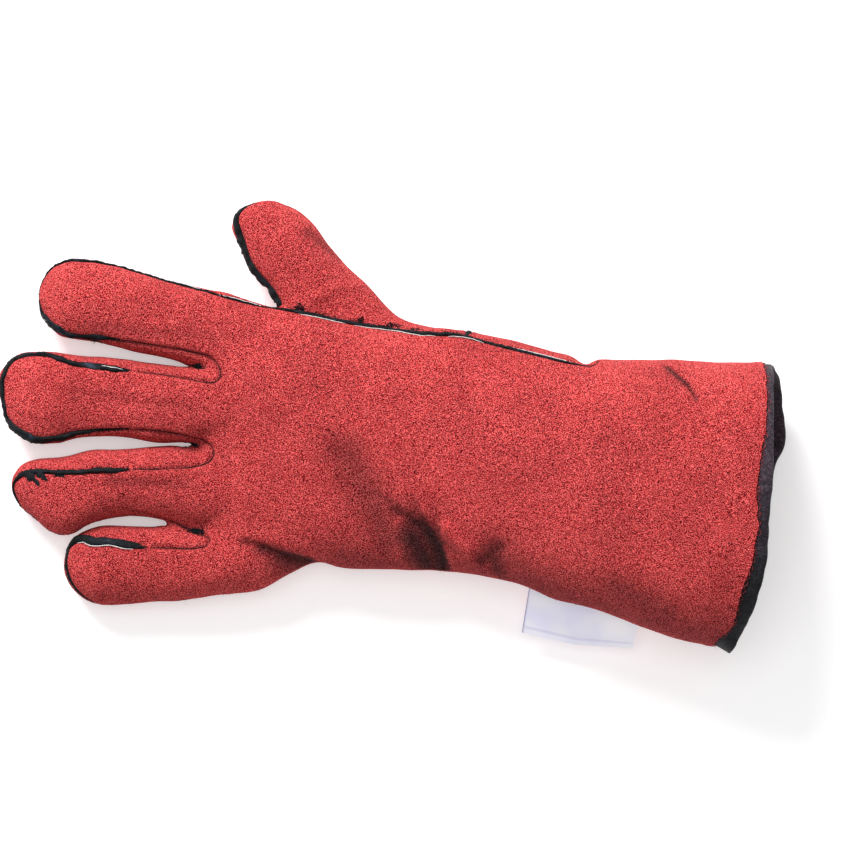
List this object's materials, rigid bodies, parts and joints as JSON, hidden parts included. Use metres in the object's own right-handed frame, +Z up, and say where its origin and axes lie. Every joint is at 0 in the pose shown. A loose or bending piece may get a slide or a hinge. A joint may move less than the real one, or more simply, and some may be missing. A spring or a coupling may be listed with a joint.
{
  "type": "leather gauntlet glove",
  "caption": "Left-hand red split-leather welding gauntlet with separate fingers, black welted seams and a taped cuff, lying palm down.",
  "frame": {"origin": "on the ground under the middle of the whole glove's box", "axes": "+X from the fingertips to the cuff's mouth, +Y towards the thumb, +Z up out of the back of the hand"},
  "size_m": [0.3534, 0.202, 0.0747],
  "materials": {
    "red_suede": "napped split leather, dry and matt",
    "black_welt": "thin black leather strip with rough cut edges",
    "grey_tape": "woven charcoal binding tape",
    "white_label": "thin satin tag, blank"
  },
  "bodies": {
    "root": {"back_panel": "red_suede", "palm_panel": "red_suede", "fourchette_index_middle": "red_suede", "fourchette_middle_ring": "red_suede", "fourchette_ring_little": "red_suede", "thumb_outer": "red_suede", "thumb_inner": "red_suede", "welt_index": "black_welt", "welt_middle": "black_welt", "welt_ring": "black_welt", "welt_little": "black_welt", "welt_thumb": "black_welt", "cuff_binding": "grey_tape", "size_label": "white_label"}
  },
  "joints": []
}
